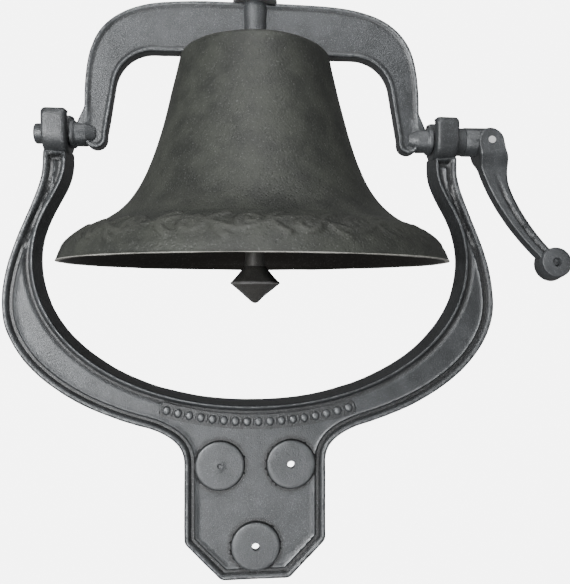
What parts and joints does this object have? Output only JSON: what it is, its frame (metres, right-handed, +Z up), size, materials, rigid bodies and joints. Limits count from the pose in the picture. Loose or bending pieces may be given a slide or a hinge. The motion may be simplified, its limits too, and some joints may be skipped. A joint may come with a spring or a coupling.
{
  "type": "yard dinner bell",
  "caption": "Cast iron yard bell that swings on a headstock in a ring-shaped bracket with a flat mounting plate, rung by a curved side lever, with a hinged clapper inside.",
  "frame": {"origin": "on the flat back face of the mounting plate, on the bell's centre line, midway in height between the two upper bosses and the lower one", "axes": "+Z up, +Y out of the plate's back face towards the post it is fixed to, +X along the trunnions towards the pull lever; the front is -Y"},
  "size_m": [0.5596, 0.3781, 0.5999],
  "materials": {
    "painted_iron": "charcoal paint over rough sand-cast iron, satin, rubbed brighter on the raised borders",
    "bell_iron": "dull olive-grey cast iron, mottled, worn bright along the rim",
    "clapper_iron": "near-black cast iron, rubbed bright at the ball's edge",
    "zinc_steel": "dull zinc-plated steel",
    "bright_steel": "bright cut steel"
  },
  "bodies": {
    "bracket": {"mounting_bracket": "painted_iron", "bracket_arm_left": "painted_iron", "bracket_arm_right": "painted_iron", "saddle_left": "painted_iron", "saddle_right": "painted_iron"},
    "bell_assembly": {"headstock": "painted_iron", "bell": "bell_iron", "crown_bolt": "zinc_steel", "crown_washer": "zinc_steel", "crown_nut": "zinc_steel", "crown_lock_nut": "zinc_steel", "inner_washer": "zinc_steel", "clapper_pin": "zinc_steel", "clapper_cotter": "zinc_steel", "pull_lever": "painted_iron", "lever_pin": "bright_steel", "hub_washer_inner": "painted_iron", "hub_washer_outer": "painted_iron"},
    "clapper": {"clapper_rod": "clapper_iron", "clapper_ball": "clapper_iron"}
  },
  "joints": [
    {"name": "bell_swing", "type": "hinge", "parent": "bracket", "child": "bell_assembly", "pos_m": [0, -0.01225, 0.36395], "axis": [1, 0, 0], "continuous": true},
    {"name": "clapper_swing", "type": "hinge", "parent": "bell_assembly", "child": "clapper", "pos_m": [0, -0.01225, 0.40295], "axis": [1, 0, 0], "range_deg": [-38.3, 38.3]}
  ]
}
